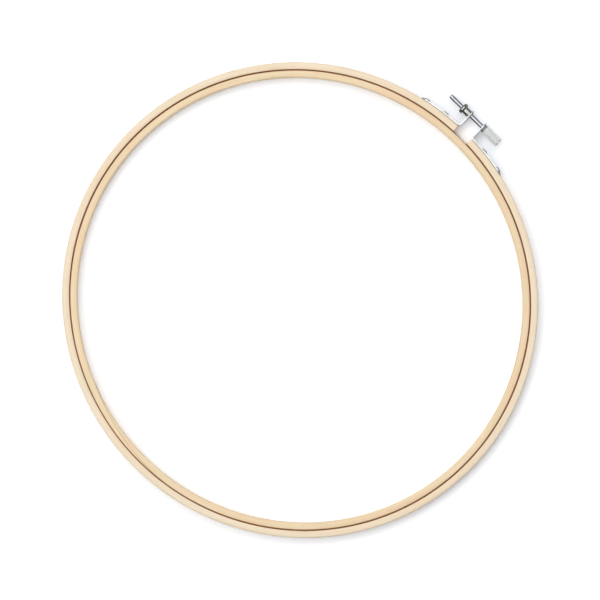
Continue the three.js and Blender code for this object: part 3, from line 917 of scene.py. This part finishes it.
@dataclass
class Bracket:
    """A strap of bent sheet that hugs the outer ring, with an ear that stands out from it for the screw."""

    side: Side
    bed_centre: Vector
    screw_axis: Vector
    strap_inner_radius: float
    strap_end_angle: float
    ear_outer_x: float
    ear_tip_y: float
    width: float
    ear_hole_radius: float
    thickness: float = 0.8
    bend_radius: float = 1.0
    strap_corner: float = 3.0
    strap_first_step: float = 4.0  # longer than the corner's radius, so that the corner fits in it
    ear_corner: float = 2.0
    softening: float = 0.1
    strap_steps: int = 24
    bend_steps: int = 12
    corner_steps: int = 8

    def build(self, finish: Finish) -> Object:
        """Bends the bracket, drills its ear and rounds its edges.

        Args:
            finish: What the sheet is plated with.

        Returns:
            The finished bracket.
        """
        bm = bmesh.new()
        strap_end = self.sheet_end(bm)
        tip = self.bent(bm)
        outwards(bm)
        self.round_corners(bm, strap_end, self.strap_corner)
        self.round_corners(bm, tip, self.ear_corner)
        bmesh.ops.translate(bm, vec=(self.bed_centre.x, self.bed_centre.y, self.screw_axis.z), verts=bm.verts)
        ear = Vector((self.ear_outer_x - self.thickness / 2, self.screw_axis.y, self.screw_axis.z))
        bm = drilled(bm, ear - X_AXIS * self.thickness, ear + X_AXIS * self.thickness, self.ear_hole_radius)
        soften(bm, self.softening)
        if self.side is Side.NUT:
            bmesh.ops.scale(bm, vec=(-1.0, 1.0, 1.0), verts=bm.verts)
        outwards(bm)
        return finished(bm, f"{self.side.value}_bracket_sheet", [finish], softened=True)

    def sheet_end(self, bm: BMesh) -> list[BMVert]:
        """Draws the sheet's section at the strap's free end, about the bed's middle.

        Args:
            bm: The mesh that gets it.

        Returns:
            The section's four corners.
        """
        bmesh.ops.create_grid(bm, x_segments=1, y_segments=1, size=0.5)
        bmesh.ops.scale(bm, vec=(self.thickness, self.width, 1.0), verts=bm.verts)
        bmesh.ops.rotate(bm, matrix=Matrix.Rotation(math.pi / 2, 3, "X"), verts=bm.verts)
        bmesh.ops.translate(bm, vec=(self.strap_inner_radius + self.thickness / 2, 0.0, 0.0), verts=bm.verts)
        bmesh.ops.rotate(bm, matrix=Matrix.Rotation(math.pi / 2 - self.strap_end_angle, 3, "Z"),
                         verts=bm.verts)
        return bm.verts[:]

    def bent(self, bm: BMesh) -> list[BMVert]:
        """Runs the sheet along the ring, round the bend and out to the ear's tip.

        Args:
            bm: The mesh that holds the sheet's first section.

        Returns:
            The four corners of the tip.
        """
        outer_radius = self.strap_inner_radius + self.thickness
        bend_x = self.ear_outer_x + self.bend_radius
        bend_y = math.sqrt((outer_radius + self.bend_radius) ** 2 - bend_x ** 2)
        bend_angle = math.atan2(bend_x, bend_y)
        first_turn = self.strap_first_step / outer_radius
        strap_turn = self.strap_end_angle - bend_angle - first_turn
        bend_centre = Vector((bend_x, bend_y, 0.0))
        section = bm.faces[:]
        for centre, axis, angle, steps in (
            (ORIGIN, Z_AXIS, first_turn, 1),
            (ORIGIN, Z_AXIS, strap_turn, self.strap_steps),
            (bend_centre, -Z_AXIS, math.pi / 2 - bend_angle, self.bend_steps),
        ):
            run = bmesh.ops.spin(bm, geom=section, cent=centre, axis=axis, angle=angle, steps=steps)
            section = [part for part in run["geom_last"] if isinstance(part, BMFace)]
        extruded = bmesh.ops.extrude_face_region(bm, geom=section)["geom"]
        bmesh.ops.delete(bm, geom=section, context="FACES_ONLY")
        tip = [part for part in extruded if isinstance(part, BMVert)]
        for corner in tip:
            corner.co.y = self.ear_tip_y - self.bed_centre.y
        return tip

    def round_corners(self, bm: BMesh, end: list[BMVert], radius: float) -> None:
        """Rounds the two corners at one end of the sheet, through its thickness.

        Args:
            bm: The bracket's mesh.
            end: The four corners of that end.
            radius: How far each is rounded.
        """
        edges = [edge for edge in bm.edges if set(edge.verts) <= set(end)
                 and abs(edge.verts[0].co.z - edge.verts[1].co.z) < MERGE_DISTANCE]
        bmesh.ops.bevel(bm, geom=edges, offset=radius, offset_type="OFFSET", segments=self.corner_steps,
                        profile=0.5, affect="EDGES", material=-1)


@dataclass
class Tack:
    """A domed tack driven through the strap into the ring."""

    name: str
    bed_centre: Vector
    angle: float  # from the middle of the split, clockwise about the bed's middle
    head_seat: float  # radius at which the underside of the head lies
    point_reach: float  # radius of the point
    mid_height: float
    head_radius: float = 1.75
    head_height: float = 0.6
    rim_height: float = 0.14
    shank_radius: float = 0.6
    point_length: float = 1.2
    dome_steps: int = 8
    steps: int = 40

    def build(self, finish: Finish) -> Object:
        """Turns the tack and drives it in along the ring's radius.

        Args:
            finish: What the tack is plated with.

        Returns:
            The finished tack.
        """
        profile = [
            (self.point_reach, 0.0),
            (self.point_reach + self.point_length, self.shank_radius),
            (self.head_seat, self.shank_radius),
            (self.head_seat, self.head_radius - self.rim_height / 2),
            (self.head_seat + self.rim_height / 2, self.head_radius),
        ]
        for step in range(self.dome_steps + 1):
            rise = step / self.dome_steps * math.pi / 2
            lift = self.rim_height + (self.head_height - self.rim_height) * math.sin(rise)
            profile.append((self.head_seat + lift, self.head_radius * math.cos(rise)))
        bm = turned(profile, self.steps)
        bmesh.ops.rotate(bm, matrix=Matrix.Rotation(math.pi / 2 - self.angle, 3, "Z"), verts=bm.verts)
        bmesh.ops.translate(bm, vec=(self.bed_centre.x, self.bed_centre.y, self.mid_height), verts=bm.verts)
        return finished(bm, self.name, [finish])


@dataclass
class FlangeNut:
    """A turned nut with a thumb flange, riveted into its ear by a peened spigot."""

    axis: Vector
    flange_outer_x: float
    lip_end_x: float
    shoulder_x: float  # where the neck stands against the ear
    lip_x: float  # where the peened lip starts on the ear's other side
    flange_radius: float
    flange_thickness: float = 2.2
    neck_radius: float = 2.0
    spigot_radius: float = 1.7
    lip_radius: float = 2.1
    bore_radius: float = 1.45
    chamfer: float = 0.3
    rim_round: float = 0.9
    rim_steps: int = 8
    softening: float = 0.08
    steps: int = 64

    def build(self, finish: Finish) -> Object:
        """Turns the nut on the screw's axis.

        Args:
            finish: The nut's metal.

        Returns:
            The finished nut.
        """
        flange_inner_x = self.flange_outer_x + self.flange_thickness
        turns = [step / self.rim_steps * math.pi / 2 for step in range(self.rim_steps + 1)]
        rim = [(self.rim_round * (1 - math.cos(turn)),
                self.flange_radius - self.rim_round + self.rim_round * math.sin(turn)) for turn in turns]
        profile = [
            (self.flange_outer_x + self.chamfer, self.bore_radius),
            (self.flange_outer_x, self.bore_radius + self.chamfer),
            *((self.flange_outer_x + depth, radius) for depth, radius in rim),
            *((flange_inner_x - depth, radius) for depth, radius in reversed(rim)),
            (flange_inner_x, self.neck_radius),
            (self.shoulder_x, self.neck_radius),
            (self.shoulder_x, self.spigot_radius),
            (self.lip_x, self.spigot_radius),
            (self.lip_x, self.lip_radius),
            (self.lip_end_x, self.spigot_radius),
            (self.lip_end_x, self.bore_radius),
        ]
        bm = turned(profile, self.steps, closed=True)
        soften(bm, self.softening)
        bmesh.ops.translate(bm, vec=(0.0, self.axis.y, self.axis.z), verts=bm.verts)
        return finished(bm, "flange_nut_turned", [finish], softened=True)


@dataclass
class ThumbScrew:
    """A threaded rod pressed into a knurled knob with a slotted end and a plain collar."""

    axis: Vector
    tip_x: float
    seat_x: float  # where the rod ends inside the knob
    rod_radius: float
    collar_x: float
    knob_outer_x: float
    knob_radius: float
    collar_radius: float = 2.2
    collar_length: float = 1.2
    thread_pitch: float = 0.45
    thread_depth: float = 0.06  # the real one is 0.27, but a shallow thread keeps the screw's gloss
    thread_crest: float = 0.28  # the ridge's width at its top
    thread_root: float = 0.4  # its width where it leaves the rod
    thread_steps: int = 20
    tip_chamfer: float = 0.35
    knob_chamfer: float = 0.4
    knurl_cells: int = 12  # round the knob; real ones are 0.87 mm apart, drawn coarser so that they show
    knurl_depth: float = 0.24
    knurl_groove: float = 0.4  # a groove's width, as a share of the way to the next one
    knurl_detail: int = 12  # facets across one diamond
    slot_width: float = 0.8
    slot_depth: float = 1.0
    softening: float = 0.08
    steps: int = 48

    def rod(self, finish: Finish) -> Object:
        """Turns the rod and winds its thread.

        Args:
            finish: The rod's metal.

        Returns:
            The finished rod.
        """
        core = self.rod_radius - self.thread_depth
        bm = turned([
            (self.tip_x, 0.0),
            (self.tip_x, core - self.tip_chamfer),
            (self.tip_x + self.tip_chamfer, core),
            (self.collar_x + self.collar_length, core),
            (self.collar_x + self.collar_length + self.thread_depth, self.rod_radius),
            (self.seat_x, self.rod_radius),
            (self.seat_x, 0.0),
        ], self.steps)
        self.wind_thread(bm, core)
        bmesh.ops.translate(bm, vec=(0.0, self.axis.y, self.axis.z), verts=bm.verts)
        return finished(bm, "screw_rod_threaded", [finish])

    def wind_thread(self, bm: BMesh, core: float) -> None:
        """Winds a right-hand ridge round the rod, from its tip to the collar.

        Args:
            bm: The rod's mesh.
            core: Radius of the rod under the thread.
        """
        start = self.tip_x + self.tip_chamfer
        turns = math.floor((self.collar_x + self.collar_length / 2 - start) / self.thread_pitch)
        ridge = bmesh.new()
        buried = core - self.thread_depth
        outline = (
            (0.0, buried),
            (0.0, core),
            ((self.thread_root - self.thread_crest) / 2, self.rod_radius),
            ((self.thread_root + self.thread_crest) / 2, self.rod_radius),
            (self.thread_root, core),
            (self.thread_root, buried),
        )
        ridge.faces.new([ridge.verts.new((start + station, radius, 0.0)) for station, radius in outline])
        steps = turns * self.thread_steps
        bmesh.ops.spin(ridge, geom=ridge.faces[:], cent=ORIGIN, axis=X_AXIS, angle=turns * math.tau,
                       steps=steps, dvec=X_AXIS * turns * self.thread_pitch / steps)
        bmesh.ops.recalc_face_normals(ridge, faces=ridge.faces)
        mesh = mesh_of(ridge, "thread")
        bm.from_mesh(mesh)
        bpy.data.meshes.remove(mesh)

    def knob(self, finish: Finish) -> Object:
        """Turns the knob, rolls its knurl and saws its slot.

        Args:
            finish: The knob's metal.

        Returns:
            The finished knob.
        """
        collar_end = self.collar_x + self.collar_length
        knurl_start = collar_end + self.knob_chamfer
        knurl_end = self.knob_outer_x - self.knob_chamfer
        rows = round((knurl_end - knurl_start) / (math.tau * self.knob_radius / self.knurl_cells))
        stations = [knurl_start + (knurl_end - knurl_start) * row / (rows * self.knurl_detail)
                    for row in range(rows * self.knurl_detail + 1)]
        bm = turned([
            (self.collar_x, self.rod_radius),
            (self.collar_x, self.collar_radius - self.softening),
            (self.collar_x + self.softening, self.collar_radius),
            (collar_end, self.collar_radius),
            (collar_end, self.knob_radius - self.knob_chamfer),
            *((station, self.knob_radius) for station in stations),
            (self.knob_outer_x, self.knob_radius - self.knob_chamfer),
            (self.knob_outer_x, 0.0),
            (self.seat_x, 0.0),
            (self.seat_x, self.rod_radius),
        ], self.knurl_cells * self.knurl_detail, closed=True)
        self.roll_knurl(bm, knurl_start, (knurl_end - knurl_start) / rows)
        bmesh.ops.translate(bm, vec=(0.0, self.axis.y, self.axis.z), verts=bm.verts)
        return finished(self.slotted(bm), "screw_knob_knurled", [finish])

    def roll_knurl(self, bm: BMesh, start: float, pitch: float) -> None:
        """Presses two crossing sets of helical grooves into the knob.

        Args:
            bm: The knob's mesh, on the X axis.
            start: Where the knurl starts.
            pitch: Length of a diamond along the knob.
        """
        for vert in bm.verts:
            if abs(math.hypot(vert.co.y, vert.co.z) - self.knob_radius) > MERGE_DISTANCE:
                continue
            row = (vert.co.x - start) / pitch
            column = math.atan2(vert.co.z, vert.co.y) / math.tau * self.knurl_cells
            off = max(abs((row + way * column) % 1.0 - 0.5) * 2 for way in (1, -1))
            sunk = max(0.0, 1 - (1 - off) / self.knurl_groove)
            factor = 1 - self.knurl_depth * sunk / self.knob_radius
            vert.co.y *= factor
            vert.co.z *= factor

    def slotted(self, bm: BMesh) -> BMesh:
        """Saws a slot across the knob's end.

        Args:
            bm: The knob, which is used up.

        Returns:
            The slotted knob.
        """
        saw = bmesh.new()
        bmesh.ops.create_cube(saw, size=1.0)
        across = 3 * self.knob_radius
        bmesh.ops.scale(saw, vec=(2 * self.slot_depth, self.slot_width, across), verts=saw.verts)
        bmesh.ops.translate(saw, vec=(self.knob_outer_x, self.axis.y, self.axis.z), verts=saw.verts)
        return subtracted(bm, saw)


@dataclass
class Clamp:
    """Everything metal: two brackets with their tacks, the nut and the thumb screw."""

    outline: Oval  # the outer ring's outer face
    screw_axis: Vector
    turning_hole: float = 1.5  # radius of the hole in which the screw turns
    rivet_hole: float = 1.8  # radius of the hole in which the nut is riveted
    # Steel sheet, pressed and then plated: an even satin grey, softly clouded, that goes dark at its rims.
    plating: Metal = Metal("plated_sheet_steel")
    # Steel tacks, tumbled and nickelled: glossier and a little darker than the sheet, and more clouded.
    tack_steel: Metal = Metal("nickelled_tack_steel", bright="#C2C4C6", dull="#A6A8AA", edge="#2A2B2E",
                              roughness=0.28, cloud=2.0)
    # Brass, turned and then plated in dark nickel: all but a mirror, with the tool's fine rings round it.
    nut_metal: Metal = Metal("dark_nickelled_brass", bright="#A2A39D", dull="#83847D", edge="#0C0C0B",
                             roughness=0.1, grain_size=(0.25, 6.0, 6.0))
    # Drawn steel, worn bright by the nut: smooth and dark, with one light streak along it.
    rod_steel: Metal = Metal("drawn_steel", bright="#A2A3A6", dull="#8E9094", edge="#101114",
                             roughness=0.12, roughness_drift=0.04, grain_size=(0.2, 8.0, 8.0))

    def build(self) -> None:
        """Builds and seats the clamp's pieces."""
        for side, body in ((Side.SCREW, Body.OUTER_FRAME), (Side.NUT, Body.NUT_END)):
            self.bracket(side, body)
            for place in ("near", "far"):
                self.tack(side, body, place)
        self.nut()
        self.screw()

    def bracket(self, side: Side, body: Body) -> None:
        """Builds one bracket.

        Args:
            side: Which end of the ring it is on.
            body: The body that carries it.
        """
        low, high = box_mm("screw_bracket")
        strap_inner_radius = self.outline.bed_radius + SEAT_CLEARANCE
        strap_outer_radius = strap_inner_radius + Bracket.thickness
        strap_end_angle = math.asin((high.x - self.outline.centre.x) / strap_outer_radius)
        hole = self.turning_hole if side is Side.SCREW else self.rivet_hole
        bracket = Bracket(side, self.outline.bed_centre, self.screw_axis, strap_inner_radius, strap_end_angle,
                          low.x + Bracket.thickness, high.y, high.z - low.z, hole)
        seated(bracket.build(self.plating), body, f"{side.value}_bracket")

    def tack(self, side: Side, body: Body, place: str) -> None:
        """Builds one tack where the frame has it.

        Args:
            side: Which bracket it holds.
            body: The body that carries it.
            place: "near" the split or "far" from it.
        """
        node = f"{side.value}_bracket_tack_{place}"
        low, high = box_mm(node)
        middle = (low + high) / 2 - self.outline.bed_centre
        angle = math.atan2(middle.x, middle.y)
        head_seat = self.outline.bed_radius + SEAT_CLEARANCE + Bracket.thickness + SEAT_CLEARANCE
        point_reach = self.outline.bed_radius - RING_THICKNESS + TACK_WALL
        tack = Tack(f"{node}_domed", self.outline.bed_centre, angle, head_seat, point_reach,
                    self.screw_axis.z)
        seated(tack.build(self.tack_steel), body, node)

    def nut(self) -> None:
        """Builds the flange nut."""
        low, high = box_mm("flange_nut")
        ear_x = box_mm("nut_bracket")[1].x
        nut = FlangeNut(self.screw_axis, low.x, high.x, ear_x - Bracket.thickness - SEAT_CLEARANCE,
                        ear_x + SEAT_CLEARANCE, (high.z - low.z) / 2)
        seated(nut.build(self.nut_metal), Body.NUT_END, "flange_nut")

    def screw(self) -> None:
        """Builds the rod and the knob."""
        rod_low, rod_high = box_mm("screw_rod")
        knob_low, knob_high = box_mm("screw_knob")
        screw = ThumbScrew(self.screw_axis, rod_low.x, rod_high.x, (rod_high.z - rod_low.z) / 2, knob_low.x,
                           knob_high.x, (knob_high.z - knob_low.z) / 2)
        # Steel, knurled and then plated in satin nickel: a matt off-white, speckled by the shade painted into
        # its valleys.
        knurled = KnurledMetal("knurled_satin_nickel", bright="#FFFEFB", dull="#EEEDEA", edge="#F0F0F0",
                               roughness=0.65, metallic=0.45, cloud=0.9, axis=tuple(self.screw_axis),
                               tip_radius=screw.knob_radius, knurl_depth=screw.knurl_depth)
        seated(screw.rod(self.rod_steel), Body.THUMB_SCREW, "screw_rod")
        seated(screw.knob(knurled), Body.THUMB_SCREW, "screw_knob")


# Stage

@dataclass(frozen=True, kw_only=True)
class MattBoard(Finish):
    """White board under a matt paint, which gives the eye an even white with soft shadows and no gloss.

    It glows a little to the eye and in the metal, so that it reads as white. The glow lights nothing, and
    there is none under the gap between the rings, so that stays dark.
    """

    outline: Oval  # the inner ring's outer face
    colour: str = "#F8F9FB"
    glow: float = 0.18
    glow_near: float = 1.0  # how near to the line between the rings the glow is gone
    glow_far: float = 2.0  # how far from it the glow is full

    def dress(self, tree: NodeTree, shader: Node) -> None:
        """Paints the board and adds its glow.

        Args:
            tree: The material's node tree.
            shader: Its shader.
        """
        shader.inputs["Base Color"].default_value = linear(self.colour)
        shader.inputs["Roughness"].default_value = 1.0
        shader.inputs["Specular IOR Level"].default_value = 0.0
        place = add_node(tree, "ShaderNodeTexCoord").outputs["Object"]
        reach = Vector((self.outline.mean_radius + self.outline.ovality,
                        self.outline.mean_radius - self.outline.ovality, 0.0)) * MM
        centred = add_node(tree, "ShaderNodeVectorMath", {
            0: place, 1: self.outline.centre * MM}, operation="SUBTRACT")
        shared = add_node(tree, "ShaderNodeVectorMath", {
            0: centred.outputs["Vector"], 1: reach}, operation="DIVIDE")
        radius = add_node(tree, "ShaderNodeVectorMath", {0: shared.outputs["Vector"]}, operation="LENGTH")
        off = add_node(tree, "ShaderNodeMath", {0: radius.outputs["Value"], 1: 1.0}, operation="SUBTRACT")
        off = add_node(tree, "ShaderNodeMath", {0: off.outputs[0]}, operation="ABSOLUTE")
        bare = add_node(tree, "ShaderNodeMapRange", {
            "Value": off.outputs[0], "From Min": self.glow_near / self.outline.mean_radius,
            "From Max": self.glow_far / self.outline.mean_radius, "To Max": self.glow})
        rays = add_node(tree, "ShaderNodeLightPath").outputs
        seen = add_node(tree, "ShaderNodeMath", {
            0: rays["Is Camera Ray"], 1: rays["Is Glossy Ray"]}, operation="ADD")
        seen = add_node(tree, "ShaderNodeMath", {
            0: seen.outputs[0], 1: rays["Is Transmission Ray"]}, operation="ADD", use_clamp=True)
        strength = add_node(tree, "ShaderNodeMath", {
            0: seen.outputs[0], 1: bare.outputs["Result"]}, operation="MULTIPLY")
        light = add_node(tree, "ShaderNodeEmission", {"Strength": strength.outputs[0]})
        both = add_node(tree, "ShaderNodeAddShader", {
            0: shader.outputs["BSDF"], 1: light.outputs["Emission"]})
        tree.links.new(both.outputs["Shader"], tree.nodes["Material Output"].inputs["Surface"])


@dataclass
class Studio:
    """A white board, a dim dome, a long softbox overhead and a camera that looks all but straight down."""

    target: Vector  # middle of the rings, at the height of their top
    outline: Oval  # the inner ring's outer face
    photo_width: float = 331.56  # what the picture spans at the top of the rings
    photo_turn: float = math.radians(44.55)  # how far the hoop is turned in the picture
    camera_distance: float = 4000.0
    camera_lean: float = math.radians(1.0)  # off the plumb line, towards +X
    near_clip: float = 10.0
    sensor_width: float = 36.0
    floor_size: float = 40_000.0
    floor_drop: float = 0.02  # how far under the hoop it lies
    sky_colour: str = "#EFF4FC"
    sky_low: float = 0.17
    sky_high: float = 0.53
    sky_rise: Span = (0.4, 0.9)  # where it brightens, from 0 at the horizon to 1 overhead
    key_power: float = 113.0
    key_size: tuple[float, float] = (2180.0, 6430.0)  # towards the lamp's tilt and along Y
    key_distance: float = 3000.0
    key_lean: float = math.radians(18.0)  # off the plumb line, towards -X

    def build(self) -> None:
        """Lays the floor, hangs the light and sets up the camera."""
        self.floor()
        self.sky()
        self.key()
        self.camera()
        bpy.context.scene.view_settings.view_transform = "Standard"

    def floor(self) -> None:
        """Lays a plain pale floor just under the hoop."""
        bm = bmesh.new()
        bmesh.ops.create_grid(bm, x_segments=1, y_segments=1, size=self.floor_size / 2)
        bmesh.ops.translate(bm, vec=-self.floor_drop * Z_AXIS, verts=bm.verts)
        floor = finished(bm, "floor", [MattBoard("matt_white_board", outline=self.outline)])

    def sky(self) -> None:
        """Lights the scene from a dome that is bright overhead and dim towards the horizon."""
        world = bpy.data.worlds.new("studio_dome")
        world.use_nodes = True
        bpy.context.scene.world = world
        tree = world.node_tree
        place = add_node(tree, "ShaderNodeTexCoord").outputs["Generated"]
        height = add_node(tree, "ShaderNodeSeparateXYZ", {"Vector": place}).outputs["Z"]
        strength = add_node(tree, "ShaderNodeMapRange", {
            "Value": height, "From Min": self.sky_rise[0], "From Max": self.sky_rise[1],
            "To Min": self.sky_low, "To Max": self.sky_high}, interpolation_type="SMOOTHSTEP")
        tree.links.new(strength.outputs["Result"], tree.nodes["Background"].inputs["Strength"])
        tree.nodes["Background"].inputs["Color"].default_value = linear(self.sky_colour)

    def key(self) -> None:
        """Hangs a large soft lamp on the side from which the picture is lit."""
        lamp = bpy.data.lights.new("key_softbox", "AREA")
        lamp.shape = "RECTANGLE"
        lamp.size, lamp.size_y = (size * MM for size in self.key_size)
        lamp.energy = self.key_power
        holder = set_out("key_softbox", lamp)
        towards = Vector((-math.sin(self.key_lean), 0.0, math.cos(self.key_lean)))
        holder.location = (self.target + towards * self.key_distance) * MM
        holder.rotation_euler = (0.0, -self.key_lean, 0.0)

    def camera(self) -> None:
        """Sets the camera high above the rings' centre, turned as the picture is."""
        data = bpy.data.cameras.new("camera")
        data.sensor_width = self.sensor_width
        data.lens = self.sensor_width * self.camera_distance / self.photo_width
        data.clip_start = self.near_clip * MM
        camera = set_out("camera", data)
        towards = Vector((math.sin(self.camera_lean), 0.0, math.cos(self.camera_lean)))
        camera.location = (self.target + towards * self.camera_distance) * MM
        camera.rotation_euler = (Matrix.Rotation(self.camera_lean, 3, "Y")
                                 @ Matrix.Rotation(self.photo_turn, 3, "Z")).to_euler()
        bpy.context.scene.camera = camera


def main() -> None:
    """Builds the hoop, its stage and its light."""
    logging.basicConfig(level=logging.INFO, format="%(name)s: %(message)s")
    inner = Oval.read("inner_ring")
    outer = inner.round_about("outer_ring")
    height = box_mm("inner_ring")[1].z
    joints = {joint["name"]: joint for joint in frame["joints"]}
    screw_axis = Vector(joints["screw_turn"]["pos_m"]) / MM
    hinge = Vector(joints["ring_spread"]["pos_m"]) / MM
    tightening = -math.radians(joints["ring_spread"]["range_deg"][0])
    InnerRing(inner.grown(RING_FULLNESS), height, hinge, tightening=tightening).build()
    OuterRing(outer, height, hinge).build()
    Clamp(outer, screw_axis).build()
    Studio(inner.centre + Z_AXIS * height, inner).build()


if __name__ == "__main__":
    main()
